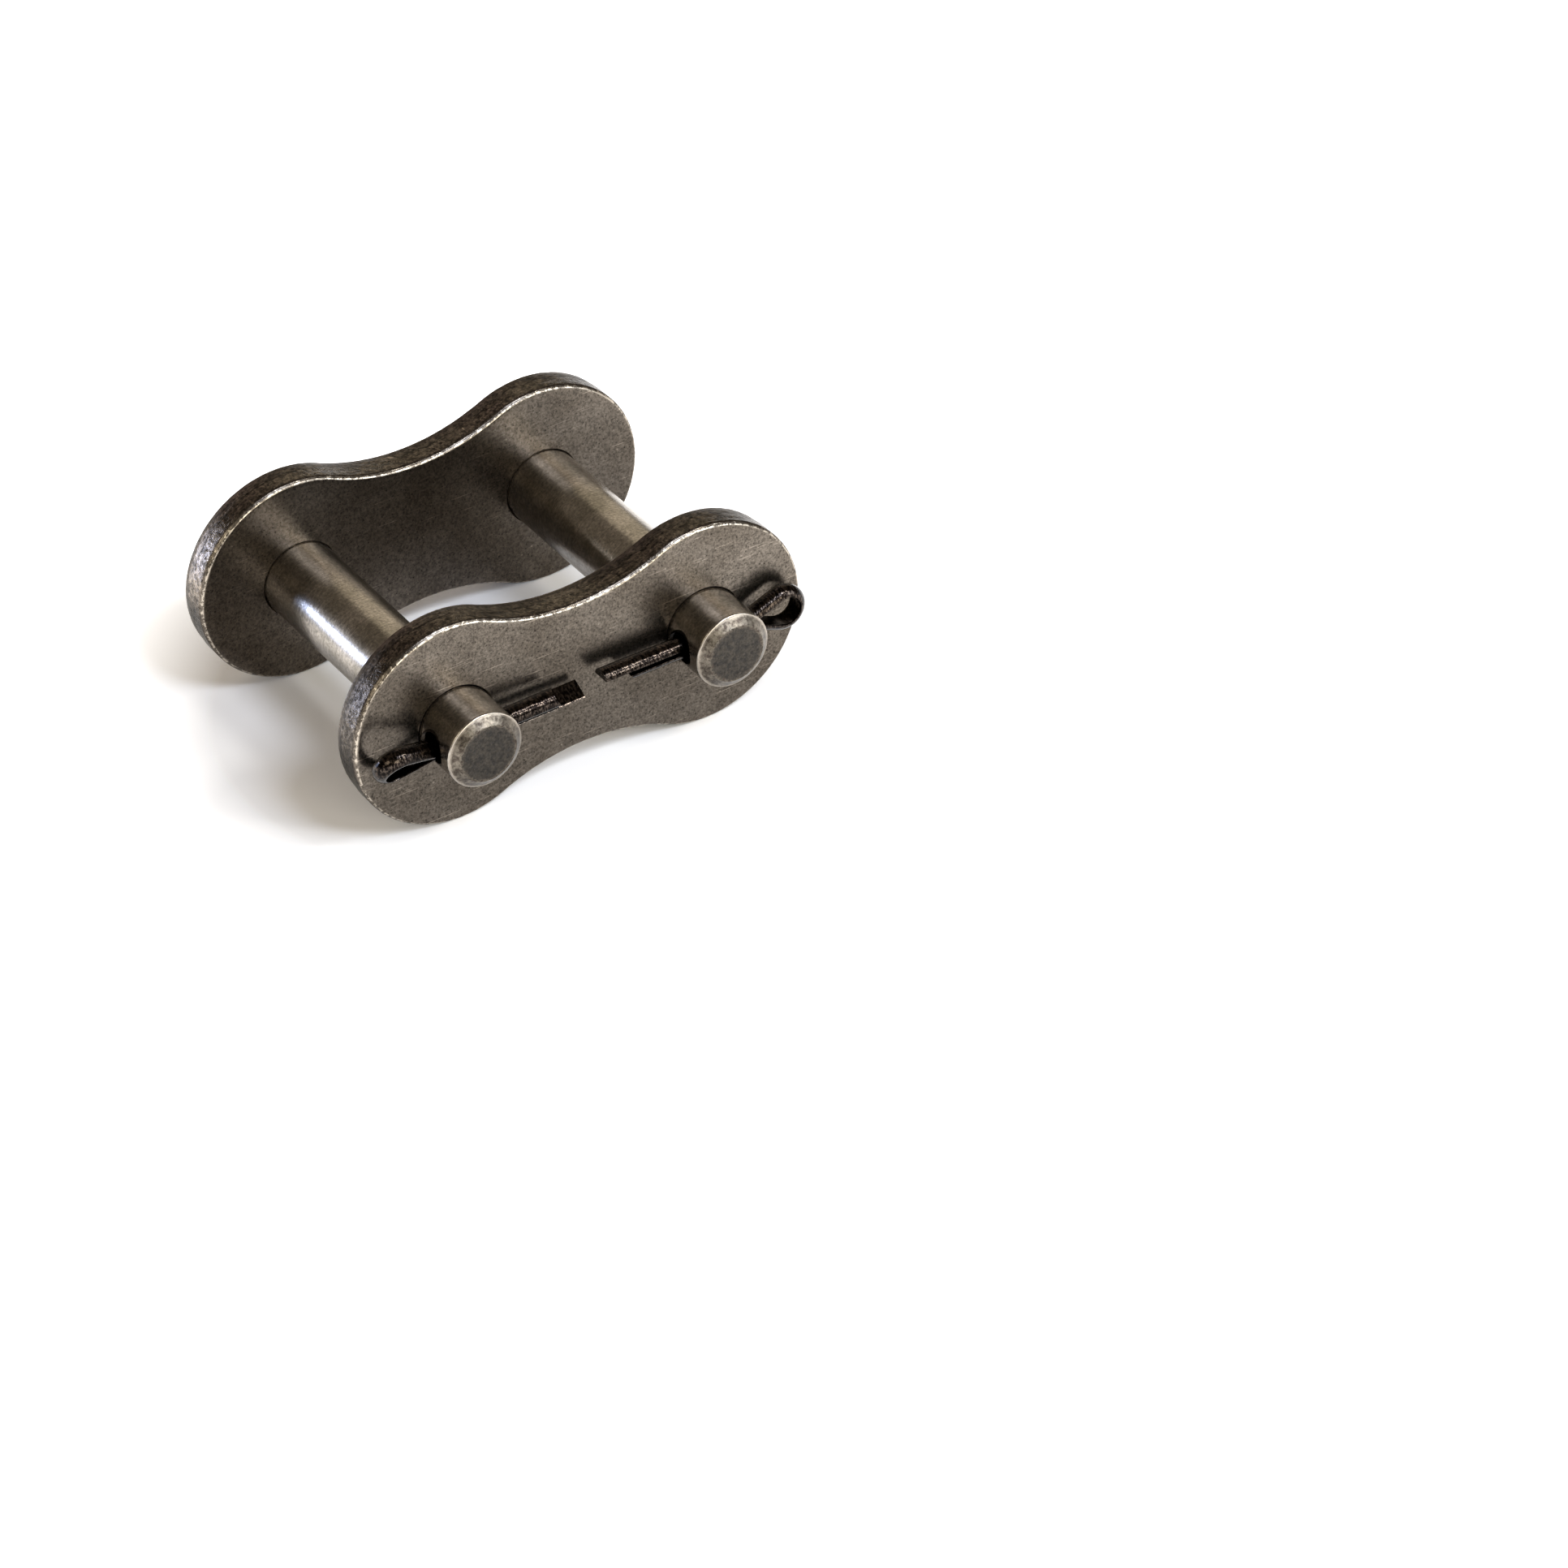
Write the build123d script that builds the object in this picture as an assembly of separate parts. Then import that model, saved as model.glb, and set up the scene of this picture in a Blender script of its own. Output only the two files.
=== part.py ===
from build123d import *
import os
from math import asin, atan2, cos, degrees, radians, sin

# Connecting link of a roller chain with one-and-a-half inch pitch, in millimetres.
# Two pins are pressed and headed in the back plate. The cover plate slips over their free
# ends, and a split cotter through each pin keeps it on.
#
# Frame: +X runs along the chain from the left pin to the right one, +Z is up, and the cover
# plate and cotters are on the -Y side. The link stands on the round ends of its two plates,
# and the origin is on the floor in the middle of its bounding box.

os.makedirs("parts", exist_ok=True)

# ---- sizes that can be set by themselves -------------------------------------------------

# link plates, stamped from strip
pitch = 38.1                # pin centre to pin centre
plate_height = 30.5         # across the round ends
plate_waist = 22.15         # across the narrow middle
plate_thickness = 4.8
plate_gap = 36.3            # clear width between the two plates
die_roll = 0.6              # rounding that the punch leaves on the face it enters
break_depth = 1.9           # part of the thickness that tears instead of shearing
break_angle = 4.0           # slope of the torn part, degrees
hole_break = 0.2            # chamfer at both ends of each plate hole

# pins
pin_d = 11.1
press_bite = 0.015          # radial interference of pin and back plate
slip_gap = 0.08             # radial clearance of pin and cover plate
tip_stub = 7.2              # pin past the cover plate, up to the rim of its end
tip_crown = 0.9             # rise of the crowned end past that rim
tip_face_d = 8.4            # flat middle of the crowned end
rim_break = 0.25            # broken edge at the rim
head_d = 12.1               # upset head behind the back plate
head_height = 1.9
head_round = 1.2            # rounding round the end of the head

# cotters, half-round wire folded round an eye
wire_width = 2.9            # across the flat side of the wire
wire_rise = 1.25            # from the flat side to the crown of the wire
leg_gap = 0.55              # slit between the two legs
eye_d = 4.2                 # inside of the eye
eye_length = 7.5            # from the pin's side to the inner end of the eye
eye_angle = 21.0            # slope of the eye's straight sides, degrees
neck_r = 3.0                # bend from leg into eye
tip_gap = 3.1               # between the long legs of the two cotters
leg_step = 3.8              # the other leg is shorter by this much
leg_bevel = 35.0            # slope of the short leg's cut end, degrees
roll_left = 33.0            # turn of each cotter about its own length, degrees
roll_right = 0.0
seat_left = 0.15            # each cotter lies this much nearer the cover plate than its hole
seat_right = 0.5
cotter_drop = 0.15          # and this much lower
eye_clearance = 0.3         # the least between an eye and the cover plate

# cross hole for the cotter
cross_clearance = 0.5       # radial, round the two legs
cross_sink = 0.33           # width of the countersink at both mouths
cross_land = 0.6            # from the edge of the cross hole to the cover plate

# ---- places that follow from them --------------------------------------------------------

pin_r = pin_d / 2
head_r = head_d / 2
half_wire = wire_width / 2
eye_r = eye_d / 2
cross_r = half_wire + leg_gap / 2 + cross_clearance
pin_x = pitch / 2
axis_z = plate_height / 2

head_end_y = (head_height + plate_thickness + plate_gap + plate_thickness + tip_stub + tip_crown) / 2
back_outer_y = head_end_y - head_height
back_inner_y = back_outer_y - plate_thickness
cover_inner_y = back_inner_y - plate_gap
cover_outer_y = cover_inner_y - plate_thickness
rim_y = cover_outer_y - tip_stub
tip_y = rim_y - tip_crown
cross_y = cover_outer_y - cross_land - cross_r

# along a cotter, from the axis of its pin
eye_x = pin_r + eye_length - eye_r
long_x = tip_gap / 2 - pin_x
short_x = long_x + leg_step


def plate_outline():
    """Figure of eight: a round end about each pin, joined by two hollow flanks."""
    end_r = plate_height / 2
    half_waist = plate_waist / 2
    flank_r = (pin_x**2 + half_waist**2 - end_r**2) / (2 * (end_r - half_waist))
    flank_z = half_waist + flank_r
    # the ends and flanks touch on the line from a pin centre to a flank centre
    lean = degrees(atan2(flank_z, pin_x))
    with BuildSketch(Plane.XZ) as outline:
        with BuildLine():
            for side, end_middle, flank_middle in ((1, 0, 270), (-1, 180, 90)):
                CenterArc((side * pin_x, 0), end_r, end_middle - (180 - lean), 2 * (180 - lean))
                CenterArc((0, side * flank_z), flank_r, flank_middle - (90 - lean), 2 * (90 - lean))
        make_face()
    return outline.sketch


def link_plate(front_y, hole_r):
    """Stamped plate whose -Y face, where the punch enters, lies at front_y."""
    outline = plate_outline()
    sheared = extrude(outline, amount=plate_thickness - break_depth)
    torn = extrude(outline, amount=break_depth, dir=(0, 1, 0), taper=break_angle)
    plate = sheared + torn
    for x in (-pin_x, pin_x):
        plate -= Pos(x, 0, 0) * Cylinder(hole_r, 2 * plate_thickness, rotation=(90, 0, 0))
    # of all the plate's arcs the mouths of its holes are the smallest
    mouths = plate.edges().filter_by(GeomType.CIRCLE).group_by(SortBy.RADIUS)[0]
    plate = chamfer(mouths, hole_break)
    punch_face = plate.faces().sort_by(Axis.Y)[0]
    plate = fillet(punch_face.outer_wire().edges(), die_roll)
    return Pos(0, front_y + plate_thickness - break_depth, axis_z) * plate


def link_pin(x):
    """Turned pin: upset head at +Y, crowned and cross-drilled free end at -Y."""
    with BuildSketch() as half:
        with BuildLine():
            head_face = Line((0, head_end_y), (head_r - head_round, head_end_y))
            rounding = JernArc(head_face @ 1, (1, 0), head_round, -90)
            Polyline(
                rounding @ 1,
                (head_r, back_outer_y),
                (pin_r, back_outer_y),
                (pin_r, rim_y + rim_break),
                (pin_r - rim_break, rim_y),
                (tip_face_d / 2, tip_y),
                (0, tip_y),
                head_face @ 0,
            )
        make_face()
    pin = revolve(half.sketch, Axis.Y)
    pin -= Pos(0, cross_y, 0) * Cylinder(cross_r, 2 * pin_d, rotation=(0, 90, 0))
    sink = Pos(0, 0, pin_r) * Cone(cross_r, cross_r + 2 * cross_sink, 2 * cross_sink)
    for turn in (90, -90):
        pin -= Pos(0, cross_y, 0) * Rot(Y=turn) * sink
    return Pos(x, 0, axis_z) * pin


def cotter():
    """Split cotter along X with its eye at +X, as it sits in a pin whose axis is Y.

    The wire's flat side is inside the fold, and the long leg is the upper one.
    """
    slope = radians(eye_angle)
    neck_top = leg_gap / 2 + neck_r * (1 - cos(slope))
    side_length = (eye_r * cos(slope) - neck_top) / sin(slope)
    neck_x = eye_x - eye_r * sin(slope) - side_length * cos(slope) - neck_r * sin(slope)
    with BuildLine(Plane.XZ) as fold:
        leg = Line((long_x, leg_gap / 2), (neck_x, leg_gap / 2))
        bend = JernArc(leg @ 1, leg % 1, neck_r, eye_angle)
        side = PolarLine(bend @ 1, side_length, direction=bend % 1)
        eye = JernArc(side @ 1, side % 1, eye_r, -(180 + 2 * eye_angle))
        side = PolarLine(eye @ 1, side_length, direction=eye % 1)
        bend = JernArc(side @ 1, side % 1, neck_r, eye_angle)
        Line(bend @ 1, (short_x, -leg_gap / 2))
    with BuildSketch(Plane((long_x, 0, leg_gap / 2), x_dir=(0, 1, 0), z_dir=(1, 0, 0))) as wire:
        with BuildLine():
            ThreePointArc((half_wire, 0), (0, wire_rise), (-half_wire, 0))
            Line((-half_wire, 0), (half_wire, 0))
        make_face()
    body = sweep(wire.sketch, path=fold.wire())
    bevel = Box(wire_width, 2 * wire_width, 2 * wire_width, align=(Align.MAX, Align.CENTER, Align.MAX))
    return body - Pos(short_x, 0, -leg_gap / 2) * Rot(Y=-leg_bevel) * bevel


def seated_cotter(side, roll, seat):
    """The cotter in one pin, leaning away from the cover plate if its rolled eye needs that."""
    reach = eye_r * sin(radians(roll)) + half_wire + eye_clearance
    lean = degrees(asin(max(0, reach - (cross_land + cross_r - seat)) / eye_x))
    place = Pos(side * pin_x, cross_y + seat, axis_z - cotter_drop) * Rot(Z=-side * lean)
    return place * Rot(X=roll) * Rot(Y=90 - 90 * side) * split_pin


split_pin = cotter()
nodes = {
    "back_plate": link_plate(back_inner_y, pin_r - press_bite),
    "cover_plate": link_plate(cover_outer_y, pin_r + slip_gap),
    "pin_left": link_pin(-pin_x),
    "pin_right": link_pin(pin_x),
    "cotter_left": seated_cotter(-1, roll_left, seat_left),
    "cotter_right": seated_cotter(1, roll_right, seat_right),
}
for name, shape in nodes.items():
    export_step(shape, f"parts/{name}.step")
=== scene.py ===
from math import asin, atan2, ceil, cos, pi, radians, sin, tan

import bmesh
import bpy
from mathutils import Matrix, Vector, noise


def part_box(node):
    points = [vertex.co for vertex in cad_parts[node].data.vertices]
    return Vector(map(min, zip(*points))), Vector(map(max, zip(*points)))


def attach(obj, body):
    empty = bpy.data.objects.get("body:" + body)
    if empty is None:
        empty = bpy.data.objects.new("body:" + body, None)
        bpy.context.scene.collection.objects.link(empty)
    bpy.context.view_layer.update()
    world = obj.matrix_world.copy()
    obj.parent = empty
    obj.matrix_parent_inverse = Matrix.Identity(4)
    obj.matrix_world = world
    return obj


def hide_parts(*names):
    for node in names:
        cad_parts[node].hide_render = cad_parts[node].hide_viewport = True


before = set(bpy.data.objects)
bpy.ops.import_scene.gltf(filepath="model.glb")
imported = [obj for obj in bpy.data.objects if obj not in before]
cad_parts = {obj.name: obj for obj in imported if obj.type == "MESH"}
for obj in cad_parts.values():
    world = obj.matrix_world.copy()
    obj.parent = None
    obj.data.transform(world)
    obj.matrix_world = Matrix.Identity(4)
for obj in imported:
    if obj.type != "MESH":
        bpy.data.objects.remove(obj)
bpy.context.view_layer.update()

mm = 0.001

# ---- Link plates ---------------------------------------------------------------------------
# Both plates are blanked from medium-carbon strip, then hardened and tempered. The punch
# rolls over the edge that it enters, shears a smooth band, and the last part of the
# thickness tears. The back plate's holes grip the pins, the cover plate's slip over them.

plate_waist = 22.15 * mm                     # across the narrow middle
die_roll = 0.6 * mm                          # rounding on the face that the punch enters
break_depth = 1.9 * mm                       # part of the thickness that tears
break_angle = radians(4.0)                   # slope of the torn part
break_step = 0.04 * mm                       # how far inside the sheared band it starts
break_start = 0.05 * mm                      # and how far behind the band's end
crumb_depth = 0.05 * mm                      # roughness of the torn part
crumb_size = 0.7 * mm
back_burr = 0.12 * mm                        # rounding on the face that the punch leaves
hole_break = 0.2 * mm                        # chamfer at both ends of each hole
press_bite = 0.015 * mm                      # radial interference with the back plate
slip_gap = 0.08 * mm                         # radial clearance in the cover plate
rim_spacing = 0.25 * mm                      # from point to point of the mesh round a rim
face_rings = (0.4 * mm, 1.2 * mm, 2.4 * mm)  # rows of the mesh on a face, in from its edges
plate_edge_angle = radians(35.0)             # edges sharper than this aren't shaded smooth

pin_low, pin_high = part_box("pin_left")
back_low, back_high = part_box("back_plate")
cover_low, cover_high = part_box("cover_plate")
pin_x = -(pin_low.x + pin_high.x) / 2
axis_z = (back_low.z + back_high.z) / 2
pin_r = 5.55 * mm
plate_end_r = (back_high.z - back_low.z) / 2
plate_thickness = back_high.y - back_low.y
land_end = plate_thickness - break_depth
flank_r = (pin_x**2 + (plate_waist / 2) ** 2 - plate_end_r**2) / (2 * plate_end_r - plate_waist)
flank_z = plate_waist / 2 + flank_r


def linear(colour):
    """Linear red, green, blue and alpha of an sRGB hex colour."""
    parts = [int(colour[i : i + 2], 16) / 255 for i in (1, 3, 5)]
    return [p / 12.92 if p <= 0.04045 else ((p + 0.055) / 1.055) ** 2.4 for p in parts] + [1.0]


def node(tree, kind, inputs=None, **settings):
    """Adds a node. A socket given as an input is linked, and anything else is its value."""
    made = tree.nodes.new(kind)
    for name, value in settings.items():
        setattr(made, name, value)
    for name, value in (inputs or {}).items():
        if isinstance(value, bpy.types.NodeSocket):
            tree.links.new(value, made.inputs[name])
        else:
            made.inputs[name].default_value = value
    return made


def plate_outline():
    """Points round a plate as (x, z, outward x, outward z), with z from the pin centres."""
    lean = atan2(flank_z, pin_x)
    points = []
    for side, end_middle, flank_middle in ((1, 0.0, -pi / 2), (-1, pi, pi / 2)):
        turn = 2 * (pi - lean)
        steps = ceil(turn * plate_end_r / rim_spacing)
        for i in range(steps):
            a = end_middle - turn / 2 + turn * i / steps
            points.append((side * pin_x + plate_end_r * cos(a), plate_end_r * sin(a), cos(a), sin(a)))
        turn = 2 * (pi / 2 - lean)
        steps = ceil(turn * flank_r / rim_spacing)
        for i in range(steps):
            a = flank_middle + turn / 2 - turn * i / steps
            points.append((flank_r * cos(a), side * flank_z + flank_r * sin(a), -cos(a), -sin(a)))
    return points


def rim_section():
    """Depth from the front face and distance in from the outline, from face to face."""
    section = [(0.0, die_roll + ring) for ring in reversed(face_rings)]
    roll_steps = 8
    for i in range(roll_steps + 1):
        a = pi / 2 * (1 - i / roll_steps)
        section.append((die_roll * (1 - sin(a)), die_roll * (1 - cos(a))))
    land_steps = 6
    for i in range(1, land_steps + 1):
        section.append((die_roll + (land_end - die_roll) * i / land_steps, 0.0))
    torn_steps = 9
    torn_start = land_end + break_start
    torn_end = plate_thickness - back_burr
    for i in range(torn_steps + 1):
        depth = torn_start + (torn_end - torn_start) * i / torn_steps
        section.append((depth, break_step + (depth - land_end) * tan(break_angle)))
    torn_inset = section[-1][1]
    burr_steps = 3
    for i in range(1, burr_steps + 1):
        a = pi / 2 * i / burr_steps
        section.append((torn_end + back_burr * sin(a), torn_inset + back_burr * (1 - cos(a))))
    section += [(plate_thickness, torn_inset + back_burr + ring) for ring in face_rings]
    return section


def hole_section(hole_r):
    """Depth from the front face and radius, from the front face to the back face."""
    wide = hole_r + hole_break
    section = [(0.0, wide + ring) for ring in reversed(face_rings)]
    section += [(0.0, wide), (hole_break, hole_r), (plate_thickness - hole_break, hole_r)]
    section += [(plate_thickness, wide)] + [(plate_thickness, wide + ring) for ring in face_rings]
    return section


def ring_faces(rows, flip):
    """Quads between closed rows of vertices."""
    faces = []
    for row, after in zip(rows, rows[1:]):
        for i in range(len(row)):
            j = (i + 1) % len(row)
            quad = (row[i], row[j], after[j], after[i])
            faces.append(quad[::-1] if flip else quad)
    return faces


def closed_mesh(name, vertices, faces, flats=()):
    """A mesh whose faces point outward. Each flat is filled between its closed rows."""
    mesh = bpy.data.meshes.new(name)
    mesh.from_pydata(vertices, [], faces)
    shape = bmesh.new()
    shape.from_mesh(mesh)
    shape.verts.ensure_lookup_table()
    for rows in flats:
        edges = []
        for row in rows:
            for i, j in zip(row, row[1:] + row[:1]):
                edges.append(shape.edges.get((shape.verts[i], shape.verts[j])))
        bmesh.ops.triangle_fill(shape, edges=edges, use_beauty=True)
    bmesh.ops.recalc_face_normals(shape, faces=shape.faces)
    shape.to_mesh(mesh)
    shape.free()
    return mesh


def add_marks(mesh, name, values):
    """A number for each vertex, which a material can read."""
    marks = mesh.attributes.new(name, "FLOAT", "POINT")
    marks.data.foreach_set("value", values)


def add_object(name, data):
    """An object in the scene that shows a mesh, lamp or camera."""
    made = bpy.data.objects.new(name, data)
    bpy.context.scene.collection.objects.link(made)
    return made


def link_plate(name, front_y, hole_r, crumb_shift):
    """A stamped plate with its -Y face at front_y. The shift gives it crumbs of its own."""
    vertices = []
    depths = []

    def add_row(points):
        start = len(vertices)
        vertices.extend(points)
        return list(range(start, len(vertices)))

    outline = plate_outline()
    rim_rows = []
    for depth, inset in rim_section():
        row = []
        for x, z, out_x, out_z in outline:
            push = -inset
            if land_end < depth < plate_thickness:
                crumb = Vector((x, depth, z)) / crumb_size + Vector((crumb_shift, 0.0, 0.0))
                push -= crumb_depth * (0.5 + 0.5 * noise.fractal(crumb, 1.0, 2.0, 3))
            row.append((x + push * out_x, front_y + depth, axis_z + z + push * out_z))
        rim_rows.append(add_row(row))
        depths += [depth / mm] * len(row)
    faces = ring_faces(rim_rows, False)
    hole_rows = {-1: [], 1: []}
    hole_steps = 160
    for side in hole_rows:
        for depth, r in hole_section(hole_r):
            row = []
            for i in range(hole_steps):
                a = 2 * pi * i / hole_steps
                row.append((side * pin_x + r * cos(a), front_y + depth, axis_z + r * sin(a)))
            hole_rows[side].append(add_row(row))
            # the holes carry none of the rim's marks
            depths += [0.0 if depth < plate_thickness / 2 else plate_thickness / mm] * len(row)
        faces += ring_faces(hole_rows[side], True)
    flats = [(rim_rows[end], hole_rows[-1][end], hole_rows[1][end]) for end in (0, -1)]
    mesh = closed_mesh(name, vertices, faces, flats)
    mesh.shade_smooth()
    mesh.set_sharp_from_angle(angle=plate_edge_angle)
    add_marks(mesh, "depth", depths)
    return add_object(name, mesh)


# Medium-carbon steel under a thin temper oxide: a dark brown-grey metal that still mirrors
# softly. Fine grain, dark pits, a few light specks and scratches lie on the faces. The die
# roll is rubbed to a bright line. The rims are grooved and blotched, and their torn part is
# duller. Painted shade darkens the low parts of the rims, and a painted highlight brightens
# the upper left of the back plate's rim. The real grain and scratches are finer, and are
# drawn as coarse as they need to show.
def tempered_plate_steel():
    dark_oxide = linear("#564F47")
    light_oxide = linear("#645D55")
    bare_metal = linear("#B5AB9D")
    cloud_size = 8 * mm
    grain_size = 0.34 * mm
    pit_spacing = 0.75 * mm
    speck_spacing = 2.6 * mm
    scratch_length = 7 * mm
    scratch_width = 0.16 * mm
    scratch_spacing = 3 * mm
    scratch_slope = radians(28.0)
    wander_length = 2.2 * mm
    groove_length = 2.6 * mm
    groove_width = 1.0 * mm
    blotch_size = 0.7 * mm
    # painted shade on the rims is full below the first height and gone above the second
    rim_shade_full_below = axis_z - 1.5 * mm
    rim_shade_gone_above = axis_z + 3.5 * mm
    # a painted highlight on the upper left of the back plate's rim starts at the first x and is full at the
    # second
    highlight_start_x = back_low.x + 5.3 * mm
    highlight_full_x = back_low.x + 2.8 * mm
    middle_blend = 1 * mm

    material = bpy.data.materials.new("tempered_plate_steel")
    material.use_nodes = True
    tree = material.node_tree
    shader = tree.nodes["Principled BSDF"]
    shader.inputs["Metallic"].default_value = 1.0
    # the oxide dims what the steel mirrors at a slant
    shader.inputs["Specular Tint"].default_value = linear("#D6D6D6")
    place = node(tree, "ShaderNodeTexCoord").outputs["Object"]
    depth = node(tree, "ShaderNodeAttribute", attribute_name="depth").outputs["Fac"]

    clouds = node(tree, "ShaderNodeTexNoise", {
        "Vector": place, "Scale": 1 / cloud_size, "Detail": 4.0, "Roughness": 0.55})
    cloud_share = node(tree, "ShaderNodeMapRange", {
        "Value": clouds.outputs["Fac"], "From Min": 0.35, "From Max": 0.65})
    oxide = node(tree, "ShaderNodeMix", {
        "Factor": cloud_share.outputs["Result"], "A": dark_oxide, "B": light_oxide}, data_type="RGBA")

    grain = node(tree, "ShaderNodeTexNoise", {
        "Vector": place, "Scale": 1 / grain_size, "Detail": 2.0, "Roughness": 0.8})
    grain_level = node(tree, "ShaderNodeMapRange", {
        "Value": grain.outputs["Fac"], "From Min": 0.3, "From Max": 0.7, "To Min": 0.45, "To Max": 1.55})
    pit_cells = node(tree, "ShaderNodeTexVoronoi", {"Vector": place, "Scale": 1 / pit_spacing})
    pits = node(tree, "ShaderNodeMapRange", {
        "Value": pit_cells.outputs["Distance"], "From Min": 0.1, "From Max": 0.22,
        "To Min": 0.35, "To Max": 1.0})
    pitted = node(tree, "ShaderNodeMath", {
        0: grain_level.outputs["Result"], 1: pits.outputs["Result"]}, operation="MULTIPLY")
    speck_cells = node(tree, "ShaderNodeTexVoronoi", {"Vector": place, "Scale": 1 / speck_spacing})
    specks = node(tree, "ShaderNodeMapRange", {
        "Value": speck_cells.outputs["Distance"], "From Min": 0.03, "From Max": 0.07,
        "To Min": 1.1, "To Max": 0.0})
    drawn_out = node(tree, "ShaderNodeMapping", {
        "Vector": place, "Rotation": (0.0, -scratch_slope, 0.0),
        "Scale": (1 / scratch_length, 1 / scratch_spacing, 1 / scratch_width)})
    streaks = node(tree, "ShaderNodeTexNoise", {
        "Vector": drawn_out.outputs["Vector"], "Scale": 1.0, "Detail": 1.0})
    scratches = node(tree, "ShaderNodeMapRange", {
        "Value": streaks.outputs["Fac"], "From Min": 0.71, "From Max": 0.76, "To Max": 1.5})
    light_marks = node(tree, "ShaderNodeMath", {
        0: specks.outputs["Result"], 1: scratches.outputs["Result"]}, operation="MAXIMUM")
    marked = node(tree, "ShaderNodeMath", {
        0: pitted.outputs[0], 1: light_marks.outputs[0]}, operation="ADD")

    # the line where the shear ends wanders across the rim; the depth is in millimetres
    wander = node(tree, "ShaderNodeTexNoise", {
        "Vector": place, "Scale": 1 / wander_length, "Detail": 4.0, "Roughness": 0.6})
    shift = node(tree, "ShaderNodeMapRange", {
        "Value": wander.outputs["Fac"], "From Min": 0.3, "From Max": 0.7, "To Min": -0.45, "To Max": 0.45})
    wandering = node(tree, "ShaderNodeMath", {0: depth, 1: shift.outputs["Result"]}, operation="ADD")
    torn = node(tree, "ShaderNodeMapRange", {
        "Value": wandering.outputs[0], "From Min": land_end / mm - 0.04, "From Max": land_end / mm + 0.04})
    mottle = node(tree, "ShaderNodeMapRange", {
        "Value": clouds.outputs["Fac"], "From Min": 0.4, "From Max": 0.6, "To Min": 0.7, "To Max": 1.15})
    torn_level = node(tree, "ShaderNodeMix", {
        "Factor": torn.outputs["Result"], "A": 1.0, "B": mottle.outputs["Result"]}, data_type="FLOAT")
    from_step = node(tree, "ShaderNodeMath", {
        0: wandering.outputs[0], 1: land_end / mm}, operation="SUBTRACT")
    step_distance = node(tree, "ShaderNodeMath", {0: from_step.outputs[0]}, operation="ABSOLUTE")
    step_shade = node(tree, "ShaderNodeMapRange", {
        "Value": step_distance.outputs[0], "From Min": 0.08, "From Max": 0.22, "To Min": 0.5, "To Max": 1.0})
    step_level = node(tree, "ShaderNodeMath", {
        0: torn_level.outputs["Result"], 1: step_shade.outputs["Result"]}, operation="MULTIPLY")
    from_centre = node(tree, "ShaderNodeMath", {
        0: depth, 1: plate_thickness / 2 / mm}, operation="SUBTRACT")
    centre_distance = node(tree, "ShaderNodeMath", {0: from_centre.outputs[0]}, operation="ABSOLUTE")
    on_rim = node(tree, "ShaderNodeMapRange", {
        "Value": centre_distance.outputs[0], "From Min": 1.6, "From Max": 2.1, "To Min": 1.0, "To Max": 0.0})
    # painted shade darkens the low parts of the rims, and a painted highlight brightens the upper left of
    # the back plate's rim
    axes = node(tree, "ShaderNodeSeparateXYZ", {"Vector": place})
    height_share = node(tree, "ShaderNodeMapRange", {
        "Value": axes.outputs["Z"], "From Min": rim_shade_full_below, "From Max": rim_shade_gone_above})
    left_share = node(tree, "ShaderNodeMapRange", {
        "Value": axes.outputs["X"], "From Min": highlight_start_x, "From Max": highlight_full_x})
    back_share = node(tree, "ShaderNodeMapRange", {
        "Value": axes.outputs["Y"], "From Min": -middle_blend, "From Max": middle_blend})
    upper_left = node(tree, "ShaderNodeMath", {
        0: height_share.outputs["Result"], 1: left_share.outputs["Result"]}, operation="MULTIPLY")
    painted_highlight_share = node(tree, "ShaderNodeMath", {
        0: upper_left.outputs[0], 1: back_share.outputs["Result"]}, operation="MULTIPLY")
    # painted highlight: the upper left of the back plate's rim is made up to 2.1 times as bright, where the
    # cool window shows
    upper_and_highlight_level = node(tree, "ShaderNodeMapRange", {
        "Value": painted_highlight_share.outputs[0], "To Min": 0.8, "To Max": 2.1})
    # shallow grooves run along the rims, and the oxide on them is blotched
    along_rim = node(tree, "ShaderNodeMapping", {
        "Vector": place, "Scale": (1 / groove_length, 1 / groove_width, 1 / groove_length)})
    grooves = node(tree, "ShaderNodeTexNoise", {
        "Vector": along_rim.outputs["Vector"], "Scale": 1.0, "Detail": 5.0, "Roughness": 0.6})
    rub = node(tree, "ShaderNodeTexNoise", {
        "Vector": place, "Scale": 1 / blotch_size, "Detail": 4.0, "Roughness": 0.75})
    blotch_level = node(tree, "ShaderNodeMapRange", {
        "Value": rub.outputs["Fac"], "From Min": 0.42, "From Max": 0.58, "To Min": 0.45, "To Max": 1.6})
    # painted shade: the low parts of the rims are darkened to about a third
    rim_shade = node(tree, "ShaderNodeMix", {
        "Factor": height_share.outputs["Result"], "A": 0.34, "B": upper_and_highlight_level.outputs["Result"]},
        data_type="FLOAT")
    blotched_and_shaded = node(tree, "ShaderNodeMath", {
        0: rim_shade.outputs["Result"], 1: blotch_level.outputs["Result"]}, operation="MULTIPLY")
    rim_level = node(tree, "ShaderNodeMix", {
        "Factor": on_rim.outputs["Result"], "A": 1.0, "B": blotched_and_shaded.outputs[0]}, data_type="FLOAT")
    edge_level = node(tree, "ShaderNodeMath", {
        0: step_level.outputs[0], 1: rim_level.outputs["Result"]}, operation="MULTIPLY")
    level = node(tree, "ShaderNodeMath", {
        0: marked.outputs[0], 1: edge_level.outputs[0]}, operation="MULTIPLY")
    grain_and_shade = node(tree, "ShaderNodeMix", {
        "Factor": 1.0, "A": oxide.outputs["Result"], "B": level.outputs[0]},
        data_type="RGBA", blend_type="MULTIPLY")

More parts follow.
